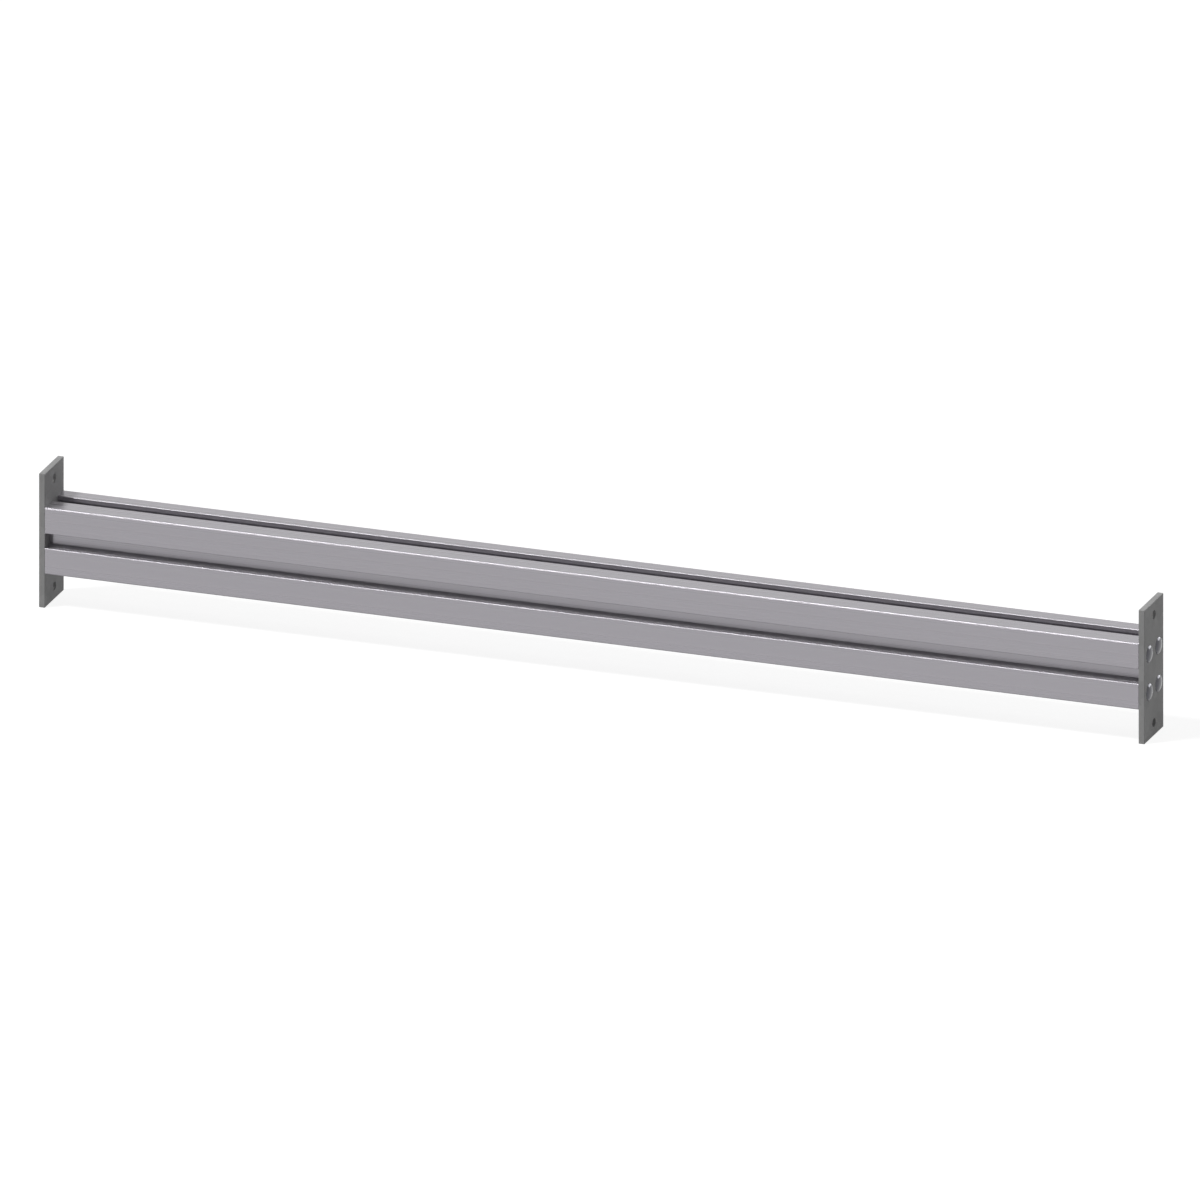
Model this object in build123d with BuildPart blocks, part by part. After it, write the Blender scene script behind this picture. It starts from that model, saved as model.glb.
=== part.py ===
from build123d import *
from math import radians, tan
import os

os.makedirs("parts", exist_ok=True)

# A slotted aluminium beam with a steel plate screwed to each end, in millimetres.
# +X runs along the beam, -Y is its front and +Z is up. The origin is on the floor,
# midway between the plates and midway across them.

# Beam
beam_length = 1088
beam_width = 52
beam_height = 66
beam_edge_radius = 1.2
beam_wall = 2.4

# T-slots, one along each face of the beam
slot_mouth_width = 14.6
slot_lip_thickness = 3.9
slot_lip_radius = 0.7
slot_head_width = 23
slot_head_side = 2.2
slot_floor_width = 11.2
slot_depth = 12
# the top and bottom slots lie this far behind the middle of the beam
slot_setback = 1.9

# End plates
plate_thickness = 6
plate_width = beam_width
plate_height = 133.2
plate_edge_chamfer = 0.4
mounting_hole_diameter = 9
mounting_hole_spacing = 107.4

# Screws, four through each plate into the beam's bores
screw_spacing_across = 25.1
screw_spacing_up = 37.8
screw_length = 26
screw_tip_chamfer = 1.1
thread_diameter = 8
thread_clearance = 0.05
tapping_bore_diameter = 6.8
tapped_depth = 25
bore_wall = 1.8
screw_hole_diameter = 9
head_diameter = 16.4
head_dome_height = 2.5
# how far the dome's curve keeps upright at the rim and level at the top, as a share of its sides
dome_fullness = 0.55
head_seat_gap = 0.05
countersink_diameter = 17.1
countersink_angle = 90

# Places that follow from the sizes above
middle_height = plate_height / 2
beam_end = beam_length / 2
plate_face = beam_end + plate_thickness
core_width = beam_width - 2 * slot_depth
core_height = beam_height - 2 * slot_depth
boss_radius = thread_diameter / 2 + bore_wall


def end_plane(distance, side):
    """A plane across the beam, facing outwards on the side named by its sign."""
    return Plane(origin=(side * distance, 0, middle_height), x_dir=(0, 1, 0), z_dir=(side, 0, 0))


# One T-slot, cut downwards from its mouth at the origin. It stands out above the
# mouth by the lip's radius, so that the rounded lips are cut cleanly.
with BuildSketch() as slot:
    with BuildLine():
        mouth = slot_mouth_width / 2
        lip_centre = mouth + slot_lip_radius
        Polyline((0, slot_lip_radius), (lip_centre, slot_lip_radius), (lip_centre, 0))
        CenterArc((lip_centre, -slot_lip_radius), slot_lip_radius, 90, 90)
        Polyline(
            (mouth, -slot_lip_radius),
            (mouth, -slot_lip_thickness),
            (slot_head_width / 2, -slot_lip_thickness),
            (slot_head_width / 2, -slot_lip_thickness - slot_head_side),
            (slot_floor_width / 2, -slot_depth),
            (0, -slot_depth),
        )
        mirror(about=Plane.YZ)
    make_face()

# The metal round a slot: the slot's head and floor, grown by one wall
with BuildSketch() as slot_jacket:
    with BuildLine():
        Polyline(
            (0, 0),
            (slot_head_width / 2, 0),
            (slot_head_width / 2, -slot_lip_thickness - slot_head_side),
            (slot_floor_width / 2, -slot_depth),
            (0, -slot_depth),
        )
        mirror(about=Plane.YZ)
    make_face()
    offset(amount=beam_wall, kind=Kind.INTERSECTION)

slot_places = [
    Location((slot_setback, beam_height / 2), 0),
    Location((slot_setback, -beam_height / 2), 180),
    Location((-beam_width / 2, 0), 90),
    Location((beam_width / 2, 0), -90),
]

# Beam: skin, slot walls and core, with a screw boss in each corner of the core
with BuildPart() as slotted_profile:
    with BuildSketch(end_plane(-beam_end, 1)) as section:
        RectangleRounded(beam_width, beam_height, beam_edge_radius)
        offset(amount=-beam_wall, kind=Kind.INTERSECTION, mode=Mode.SUBTRACT)
        for place in slot_places:
            with Locations(place):
                add(slot_jacket.sketch)
        Rectangle(core_width, core_height)
        Rectangle(core_width - 2 * beam_wall, core_height - 2 * beam_wall, mode=Mode.SUBTRACT)
        with GridLocations(screw_spacing_across, screw_spacing_up, 2, 2):
            Circle(boss_radius)
        RectangleRounded(beam_width, beam_height, beam_edge_radius, mode=Mode.INTERSECT)
        for place in slot_places:
            with Locations(place):
                add(slot.sketch, mode=Mode.SUBTRACT)
        with GridLocations(screw_spacing_across, screw_spacing_up, 2, 2):
            Circle(tapping_bore_diameter / 2, mode=Mode.SUBTRACT)
    extrude(amount=beam_length)
    for side in (-1, 1):
        with Locations(end_plane(beam_end, side)):
            with GridLocations(screw_spacing_across, screw_spacing_up, 2, 2):
                Hole(thread_diameter / 2, depth=tapped_depth)

slotted_profile.part.label = "slotted_profile"
export_step(slotted_profile.part, "parts/slotted_profile.step")

# End plates, each with four countersunk screw holes and two mounting holes
for end, side in (("left", -1), ("right", 1)):
    outer_face = end_plane(plate_face, side)
    with BuildPart() as end_plate:
        with BuildSketch(outer_face):
            Rectangle(plate_width, plate_height)
        extrude(amount=-plate_thickness)
        chamfer(end_plate.edges(), length=plate_edge_chamfer)
        with Locations(outer_face):
            with GridLocations(screw_spacing_across, screw_spacing_up, 2, 2):
                CounterSinkHole(
                    screw_hole_diameter / 2,
                    countersink_diameter / 2,
                    counter_sink_angle=countersink_angle,
                )
            with GridLocations(0, mounting_hole_spacing, 1, 2):
                Hole(mounting_hole_diameter / 2)
    end_plate.part.label = f"end_plate_{end}"
    export_step(end_plate.part, f"parts/end_plate_{end}.step")

# Screws with a low domed head, rounded down to its rim. The head's cone bears on the
# countersink, and the tip ends short of the bottom of the tapped stretch.
head_radius = head_diameter / 2
thread_radius = thread_diameter / 2 - thread_clearance
cone_slope = tan(radians(countersink_angle / 2))
rim_height = head_seat_gap - (countersink_diameter - head_diameter) / 2 / cone_slope
neck_height = rim_height - (head_radius - thread_radius) / cone_slope
dome_height = rim_height + head_dome_height
tip_height = dome_height - screw_length

for end, side in (("left", -1), ("right", 1)):
    for level, up in (("lower", -1), ("upper", 1)):
        for row, back in (("front", -1), ("back", 1)):
            axis_point = (
                side * plate_face,
                back * screw_spacing_across / 2,
                middle_height + up * screw_spacing_up / 2,
            )
            # radii run along the sketch's x, heights above the plate along its y
            half_plane = Plane(origin=axis_point, x_dir=(0, 1, 0), z_dir=(0, 0, -side))
            with BuildPart() as screw:
                with BuildSketch(half_plane):
                    with BuildLine():
                        Polyline(
                            (0, dome_height),
                            (0, tip_height),
                            (thread_radius - screw_tip_chamfer, tip_height),
                            (thread_radius, tip_height + screw_tip_chamfer),
                            (thread_radius, neck_height),
                            (head_radius, rim_height),
                        )
                        Bezier(
                            (head_radius, rim_height),
                            (head_radius, rim_height + dome_fullness * head_dome_height),
                            (dome_fullness * head_radius, dome_height),
                            (0, dome_height),
                        )
                    make_face()
                revolve(axis=Axis(axis_point, (side, 0, 0)))
            name = f"screw_{end}_{level}_{row}"
            screw.part.label = name
            export_step(screw.part, f"parts/{name}.step")
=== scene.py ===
from math import cos, radians, sin

import bmesh
import bpy
from bpy.props import FloatProperty, FloatVectorProperty, PointerProperty
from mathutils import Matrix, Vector


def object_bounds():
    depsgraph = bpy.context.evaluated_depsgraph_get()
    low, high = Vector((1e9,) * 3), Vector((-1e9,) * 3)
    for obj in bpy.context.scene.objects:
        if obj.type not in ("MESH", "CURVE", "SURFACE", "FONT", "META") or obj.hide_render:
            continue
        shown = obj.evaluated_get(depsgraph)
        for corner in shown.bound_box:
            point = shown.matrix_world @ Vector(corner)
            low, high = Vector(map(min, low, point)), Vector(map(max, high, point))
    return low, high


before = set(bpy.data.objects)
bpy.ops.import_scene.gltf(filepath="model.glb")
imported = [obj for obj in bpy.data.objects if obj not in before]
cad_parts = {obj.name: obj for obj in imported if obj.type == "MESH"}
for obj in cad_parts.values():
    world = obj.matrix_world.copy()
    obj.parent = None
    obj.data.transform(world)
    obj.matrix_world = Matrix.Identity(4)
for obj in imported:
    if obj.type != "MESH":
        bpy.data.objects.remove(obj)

bl_info = {
    "name": "Slotted beam with end plates",
    "version": (1, 0, 0),
    "blender": (4, 5, 0),
    "location": "View3D > Sidebar > Beam",
    "description": "Finishes a slotted beam, its end plates and its screws, and builds their stage",
    "category": "Object",
}

MM = 0.001
WHITE = (1, 1, 1, 1)
CAD_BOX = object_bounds()
PLATES = ("end_plate_left", "end_plate_right")
SCREWS = sorted(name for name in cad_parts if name.startswith("screw_"))


def linear(hex_colour):
    """The linear colour of an sRGB hex value, with full alpha."""
    channels = [int(hex_colour[i:i + 2], 16) / 255 for i in (1, 3, 5)]
    toe, slope, offset, gamma = 0.04045, 12.92, 0.055, 2.4
    curved = [c / slope if c <= toe else ((c + offset) / (1 + offset)) ** gamma for c in channels]
    return (*curved, 1.0)


class BeamFinishes(bpy.types.PropertyGroup):
    """Colours of the metals and the real sizes of their patterns."""

    anodised_colour: FloatVectorProperty(
        name="Anodised aluminium", description="Colour of the beam", subtype="COLOR",
        size=4, min=0, max=1, default=linear("#A19EA4"))
    zinc_colour: FloatVectorProperty(
        name="Zinc", description="Middle grey of the galvanised plates", subtype="COLOR",
        size=4, min=0, max=1, default=linear("#A5A5A5"))
    oxide_colour: FloatVectorProperty(
        name="Dark oxide", description="Colour of the blackened screws", subtype="COLOR",
        size=4, min=0, max=1, default=linear("#56565B"))
    drawing_line: FloatProperty(
        name="Drawing line", description="Width of a line left by the die", unit="LENGTH",
        default=4 * MM)
    spangle: FloatProperty(
        name="Spangle", description="Width of a large zinc crystal", unit="LENGTH",
        default=11 * MM)


class BeamStage(bpy.types.PropertyGroup):
    """Where the camera stands, what it takes in, and how bright the lamps are."""

    azimuth: FloatProperty(
        name="Azimuth", description="Camera's turn to the right of the beam's front",
        subtype="ANGLE", default=radians(19.93))
    elevation: FloatProperty(
        name="Elevation", description="Camera's height angle", subtype="ANGLE",
        default=radians(20.03))
    frame_width: FloatProperty(
        name="Frame width", description="Width of the picture at the beam", unit="LENGTH",
        default=1122.4 * MM)
    sideways: FloatProperty(
        name="Sideways", description="How far the beam's middle stands right of the picture's",
        unit="LENGTH", default=1.1 * MM)
    ambient: FloatProperty(
        name="Ambient", description="Strength of the sky as matt surfaces see it", default=0.18)
    overhead: FloatProperty(
        name="Overhead", description="Strength of the main lamp overhead", default=1.85)
    high_back: FloatProperty(
        name="High back", description="Strength of the soft lamp high behind", default=0.3)
    low_front: FloatProperty(
        name="Low front", description="Strength of the low lamp in front", default=0.47)
    under: FloatProperty(
        name="Under", description="Strength of the soft light that comes up from below",
        default=0.4)
    dome_shine: FloatProperty(
        name="Dome shine", description="Strength of the reflection on the screws' domes",
        default=3.5)
    edge_shine: FloatProperty(
        name="Edge shine", description="Strength of the reflection along the beam's edges",
        default=1.8)
    floor_grey: FloatProperty(
        name="Floor", description="How pale the floor is", min=0, max=1, default=0.25)
    floor_glow: FloatProperty(
        name="Floor's white", description="How far the floor is lifted to white where it is seen",
        min=0, max=1, default=0.88)


def add_node(tree, kind, inputs=None, **attributes):
    """Adds a node, sets its attributes, and sets or links each named input."""
    node = tree.nodes.new(kind)
    for name, value in attributes.items():
        setattr(node, name, value)
    for socket, value in (inputs or {}).items():
        if isinstance(value, bpy.types.NodeSocket):
            tree.links.new(value, node.inputs[socket])
        else:
            node.inputs[socket].default_value = value
    return node


def new_material(name):
    """A material with an empty tree and its output node."""
    material = bpy.data.materials.new(name)
    material.use_nodes = True
    tree = material.node_tree
    tree.nodes.clear()
    return material, tree, add_node(tree, "ShaderNodeOutputMaterial")


def paint(piece, material):
    """Puts one material on a whole piece."""
    piece.data.materials.clear()
    piece.data.materials.append(material)


def anodised_aluminium(finishes):
    """Anodised aluminium, drawn through a die.

    A satin metal with a soft sheen and faint straight lines along the beam."""
    material, tree, output = new_material("anodised_aluminium")
    place = add_node(tree, "ShaderNodeTexCoord")
    # a line is coarser than a real one, so that it shows, and runs on for metres
    across = 1 / finishes.drawing_line
    length_in_widths = 3000
    contrast = 0.007
    stretch = add_node(tree, "ShaderNodeMapping", {
        "Vector": place.outputs["Object"], "Scale": (across / length_in_widths, across, across)})
    lines = add_node(tree, "ShaderNodeTexNoise", {
        "Vector": stretch.outputs["Vector"], "Scale": 1.0, "Detail": 3.0, "Roughness": 0.6})
    # nearly all of the noise lies in this range
    line = {"Value": lines.outputs["Fac"], "From Min": 0.3, "From Max": 0.7}
    tone = add_node(tree, "ShaderNodeMapRange", {
        **line, "To Min": 1 - contrast, "To Max": 1 + contrast})
    colour = add_node(tree, "ShaderNodeVectorMath", {
        0: finishes.anodised_colour[:3], "Scale": tone.outputs["Result"]}, operation="SCALE")
    sheen = add_node(tree, "ShaderNodeMapRange", {**line, "To Min": 0.27, "To Max": 0.28})
    shader = add_node(tree, "ShaderNodeBsdfPrincipled", {
        "Base Color": colour.outputs["Vector"], "Metallic": 0.33,
        "Roughness": sheen.outputs["Result"]})
    tree.links.new(shader.outputs["BSDF"], output.inputs["Surface"])
    return material


def galvanised_steel(finishes):
    """Hot-dip galvanised steel.

    A dull grey metal mottled by hard-edged zinc crystals, each a little lighter or darker."""
    material, tree, output = new_material("galvanised_steel")
    place = add_node(tree, "ShaderNodeTexCoord")
    per_crystal = 1 / finishes.spangle
    # the crystals' borders wander, so that none is a straight-sided cell
    bends_per_crystal = 2
    contrast = 0.05
    wander = add_node(tree, "ShaderNodeTexNoise", {
        "Vector": place.outputs["Object"], "Scale": bends_per_crystal * per_crystal,
        "Detail": 2.0})
    bent = add_node(tree, "ShaderNodeVectorMath", {
        0: wander.outputs["Color"], 1: (finishes.spangle,) * 3, 2: place.outputs["Object"]},
        operation="MULTIPLY_ADD")
    crystals = add_node(tree, "ShaderNodeTexVoronoi", {
        "Vector": bent.outputs["Vector"], "Scale": per_crystal})
    mottle = add_node(tree, "ShaderNodeSeparateColor", {"Color": crystals.outputs["Color"]})
    tone = add_node(tree, "ShaderNodeMapRange", {
        "Value": mottle.outputs["Red"], "To Min": 1 - contrast, "To Max": 1 + contrast})
    colour = add_node(tree, "ShaderNodeVectorMath", {
        0: finishes.zinc_colour[:3], "Scale": tone.outputs["Result"]}, operation="SCALE")
    dullness = add_node(tree, "ShaderNodeMapRange", {
        "Value": mottle.outputs["Green"], "To Min": 0.6, "To Max": 0.7})
    shader = add_node(tree, "ShaderNodeBsdfPrincipled", {
        "Base Color": colour.outputs["Vector"], "Metallic": 0.05, "Specular IOR Level": 0.05,
        "Roughness": dullness.outputs["Result"]})
    tree.links.new(shader.outputs["BSDF"], output.inputs["Surface"])
    return material


def blackened_steel(finishes):
    """Black-oxide steel, turned smooth.

    A dark bluish metal whose domes show clear reflections, a little duller in patches."""
    material, tree, output = new_material("blackened_steel")
    place = add_node(tree, "ShaderNodeTexCoord")
    patch = 3 * MM
    film = add_node(tree, "ShaderNodeTexNoise", {
        "Vector": place.outputs["Object"], "Scale": 1 / patch, "Detail": 2.0})
    polish = add_node(tree, "ShaderNodeMapRange", {
        "Value": film.outputs["Fac"], "To Min": 0.14, "To Max": 0.2})
    shader = add_node(tree, "ShaderNodeBsdfPrincipled", {
        "Base Color": finishes.oxide_colour, "Metallic": 0.7,
        "Roughness": polish.outputs["Result"]})
    tree.links.new(shader.outputs["BSDF"], output.inputs["Surface"])
    return material


class BEAM_OT_anodise(bpy.types.Operator):
    """Finish the slotted profile in anodised aluminium"""

    bl_idname = "beam.anodise"
    bl_label = "Anodise the profile"

    def execute(self, context):
        paint(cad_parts["slotted_profile"], anodised_aluminium(context.scene.beam_finishes))
        return {"FINISHED"}


class BEAM_OT_galvanise(bpy.types.Operator):
    """Finish both end plates in galvanised steel"""

    bl_idname = "beam.galvanise"
    bl_label = "Galvanise the plates"

    def execute(self, context):
        zinc = galvanised_steel(context.scene.beam_finishes)
        for name in PLATES:
            paint(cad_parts[name], zinc)
        return {"FINISHED"}


class BEAM_OT_screws(bpy.types.Operator):
    """Finish the eight screws in blackened steel"""

    bl_idname = "beam.screws"
    bl_label = "Blacken the screws"

    def execute(self, context):
        oxide = blackened_steel(context.scene.beam_finishes)
        for name in SCREWS:
            paint(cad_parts[name], oxide)
        return {"FINISHED"}


def seen_white(tree, strength):
    """A strength for what the camera, reflections and clear materials see, and 0 for the rest."""
    path = add_node(tree, "ShaderNodeLightPath")
    seen = add_node(tree, "ShaderNodeMath", {
        0: path.outputs["Is Camera Ray"], 1: path.outputs["Is Glossy Ray"]}, operation="MAXIMUM")
    any_of = add_node(tree, "ShaderNodeMath", {
        0: seen.outputs["Value"], 1: path.outputs["Is Transmission Ray"]}, operation="MAXIMUM")
    scaled = add_node(tree, "ShaderNodeMath", {
        0: any_of.outputs["Value"], 1: strength}, operation="MULTIPLY")
    return scaled.outputs["Value"]


def build_world(stage):
    """A plain sky: a soft grey to matt surfaces, and white to the camera and in reflections."""
    world = bpy.data.worlds.new("white_sky")
    world.use_nodes = True
    tree = world.node_tree
    tree.nodes.clear()
    seen = seen_white(tree, 1.0)
    soft = add_node(tree, "ShaderNodeBackground", {"Strength": stage.ambient, "Color": WHITE})
    white = add_node(tree, "ShaderNodeBackground", {"Strength": 1.0, "Color": WHITE})
    sky = add_node(tree, "ShaderNodeMixShader", {
        0: seen, 1: soft.outputs["Background"], 2: white.outputs["Background"]})
    add_node(tree, "ShaderNodeOutputWorld", {"Surface": sky.outputs["Shader"]})
    bpy.context.scene.world = world


def build_floor(stage):
    """A wide matt floor, lifted to white where it is seen, with the beam's shadow on it."""
    material, tree, output = new_material("pale_floor")
    grey = stage.floor_grey
    matt = add_node(tree, "ShaderNodeBsdfDiffuse", {"Color": (grey, grey, grey, 1)})
    glow = add_node(tree, "ShaderNodeEmission", {
        "Color": WHITE, "Strength": seen_white(tree, stage.floor_glow)})
    lifted = add_node(tree, "ShaderNodeAddShader", {
        0: matt.outputs["BSDF"], 1: glow.outputs["Emission"]})
    tree.links.new(lifted.outputs["Shader"], output.inputs["Surface"])
    # in metres, from the beam's middle to the floor's edge
    reach = 6
    bm = bmesh.new()
    bmesh.ops.create_grid(bm, x_segments=1, y_segments=1, size=reach)
    mesh = bpy.data.meshes.new("floor")
    bm.to_mesh(mesh)
    bm.free()
    floor = bpy.data.objects.new("floor", mesh)
    bpy.context.scene.collection.objects.link(floor)
    paint(floor, material)
    # the light of the low lamps passes the floor
    floor.visible_shadow = False


def add_camera(stage):
    """An orthographic camera at the photograph's angle."""
    middle = (CAD_BOX[0] + CAD_BOX[1]) / 2
    towards = Vector((
        sin(stage.azimuth) * cos(stage.elevation),
        -cos(stage.azimuth) * cos(stage.elevation),
        sin(stage.elevation)))
    right = Vector((cos(stage.azimuth), sin(stage.azimuth), 0))
    # in metres: clear of the beam, with the floor behind it in view
    distance, sight = 4.0, 12.0
    data = bpy.data.cameras.new("camera")
    data.type = "ORTHO"
    data.ortho_scale = stage.frame_width
    data.clip_end = sight
    camera = bpy.data.objects.new("camera", data)
    bpy.context.scene.collection.objects.link(camera)
    camera.location = middle - right * stage.sideways + towards * distance
    camera.rotation_euler = (-towards).to_track_quat("-Z", "Y").to_euler()
    bpy.context.scene.camera = camera


def add_lamp(name, towards, strength, width, only_reflected=False):
    """Adds a distant lamp that stands in a direction and looks a number of degrees wide.

    One that is only reflected shows in sheen and shine, and lights no matt surface."""
    light = bpy.data.lights.new(name, "SUN")
    light.energy = strength
    light.angle = radians(width)
    lamp = bpy.data.objects.new(name, light)
    bpy.context.scene.collection.objects.link(lamp)
    lamp.rotation_euler = Vector(towards).to_track_quat("Z", "Y").to_euler()
    lamp.visible_diffuse = not only_reflected


class BEAM_OT_stage(bpy.types.Operator):
    """Set up the sky, the floor, the camera and the lamps"""

    bl_idname = "beam.stage"
    bl_label = "Build the stage"

    def execute(self, context):
        stage = context.scene.beam_stage
        context.scene.view_settings.view_transform = "Standard"
        build_world(stage)
        build_floor(stage)
        add_camera(stage)
        # overhead, leaning to the left and the front
        above = (-0.42, -0.30, 0.86)
        add_lamp("overhead_lamp", above, stage.overhead, width=10)
        # high behind, so that it also reaches the beam's top in the left plate's shadow
        add_lamp("high_lamp", (-0.05, 0.50, 0.86), stage.high_back, width=30)
        # from the front and a little left, low enough for its light to rise into the slots
        add_lamp("front_lamp", (-0.31, -0.94, -0.11), stage.low_front, width=4)
        # from below, behind the right end
        add_lamp("under_lamp", (0.64, 0.30, -0.70), stage.under, width=30)
        # behind and to the right, for the bright tops of the screws' domes
        add_lamp(
            "back_lamp", (0.40, 0.80, 0.45), stage.dome_shine, width=60, only_reflected=True)
        # overhead, for the bright lines along the beam's rounded edges
        add_lamp("edge_lamp", above, stage.edge_shine, width=30, only_reflected=True)
        return {"FINISHED"}


class BEAM_PT_panel(bpy.types.Panel):
    """The beam's finishes and stage"""

    bl_idname = "BEAM_PT_panel"
    bl_label = "Slotted beam"
    bl_space_type = "VIEW_3D"
    bl_region_type = "UI"
    bl_category = "Beam"

    def draw(self, context):
        for group in (context.scene.beam_finishes, context.scene.beam_stage):
            box = self.layout.box()
            for name in group.__annotations__:
                box.prop(group, name)
        for operator in OPERATORS:
            self.layout.operator(operator.bl_idname)


OPERATORS = (BEAM_OT_anodise, BEAM_OT_galvanise, BEAM_OT_screws, BEAM_OT_stage)
CLASSES = (BeamFinishes, BeamStage, *OPERATORS, BEAM_PT_panel)


def register():
    for cls in CLASSES:
        bpy.utils.register_class(cls)
    bpy.types.Scene.beam_finishes = PointerProperty(type=BeamFinishes)
    bpy.types.Scene.beam_stage = PointerProperty(type=BeamStage)


def unregister():
    del bpy.types.Scene.beam_stage
    del bpy.types.Scene.beam_finishes
    for cls in reversed(CLASSES):
        bpy.utils.unregister_class(cls)


def main():
    register()
    bpy.ops.beam.anodise()
    bpy.ops.beam.galvanise()
    bpy.ops.beam.screws()
    bpy.ops.beam.stage()


if __name__ == "__main__":
    main()
